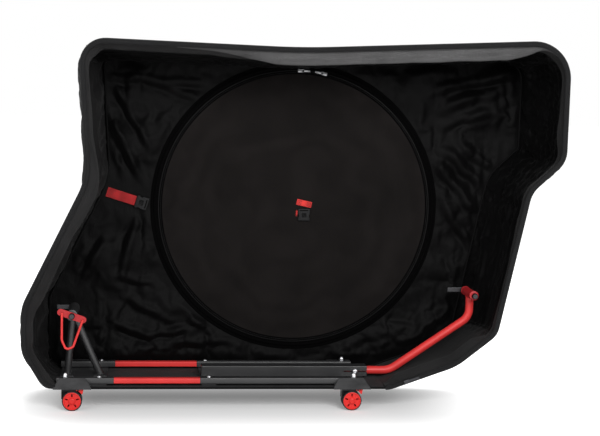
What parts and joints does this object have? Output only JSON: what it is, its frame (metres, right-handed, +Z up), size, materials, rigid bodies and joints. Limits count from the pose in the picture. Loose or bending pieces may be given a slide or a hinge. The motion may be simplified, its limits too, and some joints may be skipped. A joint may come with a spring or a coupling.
{
  "type": "bike travel case",
  "caption": "Soft black bike travel case open on one side, with a rolling base frame, a sliding red fork stand, a rear axle stand and swivel casters.",
  "frame": {"origin": "on the floor, under the middle of the case's bounding box", "axes": "+X to the front of the case (the fork's end), +Y to the closed far side, away from the opening, +Z up"},
  "size_m": [1.333, 0.2901, 0.9185],
  "materials": {
    "nylon": "matt black woven nylon with a soft sheen",
    "pocket_fabric": "taut dark grey woven nylon",
    "floor_board": "charcoal coated heavy fabric over a stiff board",
    "zip_tape": "black woven tape with coil teeth",
    "webbing_red": "red ribbed webbing",
    "black_plastic": "textured black moulded plastic",
    "wheel_red": "bright red moulded plastic",
    "black_paint": "satin black coated aluminium and steel",
    "red_paint": "satin red coated tube",
    "steel_bright": "bright plated steel",
    "steel_dark": "dark plated steel"
  },
  "bodies": {
    "case": {"rear_gusset": "nylon", "top_gusset": "nylon", "front_gusset": "nylon", "ramp_panel": "nylon", "far_panel": "nylon", "wheel_pocket": "pocket_fabric", "floor_panel": "floor_board", "wear_patch": "floor_board", "rim_zip": "zip_tape", "hub_strap": "webbing_red", "hub_buckle": "black_plastic", "rear_strap": "webbing_red", "rear_strap_buckle": "black_plastic", "carry_handle": "nylon", "rear_crossplate": "black_paint", "middle_crossbar": "black_paint", "front_crossbar": "black_paint", "central_beam": "black_paint", "clamp_bolt": "steel_bright", "rear_stand": "black_paint", "rear_hub": "black_paint", "rear_skewer": "steel_dark", "rail_sleeve_rear_near": "black_paint", "rail_tube_near": "red_paint", "rail_sleeve_front_near": "black_paint", "rail_screw_rear_near": "steel_bright", "rail_nut_rear_near": "steel_bright", "rail_screw_front_near": "steel_bright", "rail_nut_front_near": "steel_bright", "rail_sleeve_rear_far": "black_paint", "rail_tube_far": "red_paint", "rail_sleeve_front_far": "black_paint", "rail_screw_rear_far": "steel_bright", "rail_nut_rear_far": "steel_bright", "rail_screw_front_far": "steel_bright", "rail_nut_front_far": "steel_bright", "caster_bracket_rear_near": "black_plastic", "caster_bracket_rear_far": "black_plastic", "caster_bracket_front_near": "black_plastic", "caster_bracket_front_far": "black_plastic"},
    "fork_carriage": {"fork_stand": "red_paint", "fork_hub": "red_paint", "fork_skewer": "steel_dark"},
    "fork_lever": {"fork_lever": "steel_dark"},
    "rear_lever": {"rear_lever": "steel_dark"},
    "derailleur_guard": {"guard_plate": "red_paint", "guard_hoop": "red_paint"},
    "zip_slider": {"zip_slider": "steel_dark"},
    "caster_rear_near": {"caster_hood_rear_near": "black_plastic"},
    "wheels_rear_near": {"caster_wheels_rear_near": "wheel_red"},
    "pedal_rear_near": {"caster_pedal_rear_near": "wheel_red"},
    "caster_rear_far": {"caster_hood_rear_far": "black_plastic"},
    "wheels_rear_far": {"caster_wheels_rear_far": "wheel_red"},
    "pedal_rear_far": {"caster_pedal_rear_far": "wheel_red"},
    "caster_front_near": {"caster_hood_front_near": "black_plastic"},
    "wheels_front_near": {"caster_wheels_front_near": "wheel_red"},
    "pedal_front_near": {"caster_pedal_front_near": "wheel_red"},
    "caster_front_far": {"caster_hood_front_far": "black_plastic"},
    "wheels_front_far": {"caster_wheels_front_far": "wheel_red"},
    "pedal_front_far": {"caster_pedal_front_far": "wheel_red"}
  },
  "joints": [
    {"name": "fork_stand_slide", "type": "slide", "parent": "case", "child": "fork_carriage", "axis": [1, 0, 0], "range_m": [-0.045, 0]},
    {"name": "fork_lever_hinge", "type": "hinge", "parent": "fork_carriage", "child": "fork_lever", "pos_m": [0.463, 0.064, 0.2755], "axis": [0, 0, -1], "range_deg": [0, 100]},
    {"name": "rear_lever_hinge", "type": "hinge", "parent": "case", "child": "rear_lever", "pos_m": [-0.551, 0.079, 0.222], "axis": [0, 0, -1], "range_deg": [0, 100]},
    {"name": "guard_hinge", "type": "hinge", "parent": "case", "child": "derailleur_guard", "pos_m": [-0.551, 0, 0.222], "axis": [0, 1, 0], "range_deg": [-90, 90]},
    {"name": "zip_slider_run", "type": "slide", "parent": "case", "child": "zip_slider", "axis": [0.9446, 0, 0.3281], "range_m": [-0.02, 0.09]},
    {"name": "swivel_rear_near", "type": "hinge", "parent": "case", "child": "caster_rear_near", "pos_m": [-0.564, -0.128, 0.053], "axis": [0, 0, 1], "continuous": true},
    {"name": "roll_rear_near", "type": "hinge", "parent": "caster_rear_near", "child": "wheels_rear_near", "pos_m": [-0.546, -0.128, 0.02425], "axis": [0, 1, 0], "continuous": true},
    {"name": "brake_rear_near", "type": "hinge", "parent": "caster_rear_near", "child": "pedal_rear_near", "pos_m": [-0.5345, -0.128, 0.0507], "axis": [0, 1, 0], "range_deg": [0, 12]},
    {"name": "swivel_rear_far", "type": "hinge", "parent": "case", "child": "caster_rear_far", "pos_m": [-0.564, 0.128, 0.053], "axis": [0, 0, 1], "continuous": true},
    {"name": "roll_rear_far", "type": "hinge", "parent": "caster_rear_far", "child": "wheels_rear_far", "pos_m": [-0.546, 0.128, 0.02425], "axis": [0, 1, 0], "continuous": true},
    {"name": "brake_rear_far", "type": "hinge", "parent": "caster_rear_far", "child": "pedal_rear_far", "pos_m": [-0.5345, 0.128, 0.0507], "axis": [0, 1, 0], "range_deg": [0, 12]},
    {"name": "swivel_front_near", "type": "hinge", "parent": "case", "child": "caster_front_near", "pos_m": [0.1225, -0.128, 0.053], "axis": [0, 0, 1], "continuous": true},
    {"name": "roll_front_near", "type": "hinge", "parent": "caster_front_near", "child": "wheels_front_near", "pos_m": [0.1405, -0.128, 0.02425], "axis": [0, 1, 0], "continuous": true},
    {"name": "brake_front_near", "type": "hinge", "parent": "caster_front_near", "child": "pedal_front_near", "pos_m": [0.152, -0.128, 0.0507], "axis": [0, 1, 0], "range_deg": [0, 12]},
    {"name": "swivel_front_far", "type": "hinge", "parent": "case", "child": "caster_front_far", "pos_m": [0.1225, 0.128, 0.053], "axis": [0, 0, 1], "continuous": true},
    {"name": "roll_front_far", "type": "hinge", "parent": "caster_front_far", "child": "wheels_front_far", "pos_m": [0.1405, 0.128, 0.02425], "axis": [0, 1, 0], "continuous": true},
    {"name": "brake_front_far", "type": "hinge", "parent": "caster_front_far", "child": "pedal_front_far", "pos_m": [0.152, 0.128, 0.0507], "axis": [0, 1, 0], "range_deg": [0, 12]}
  ]
}
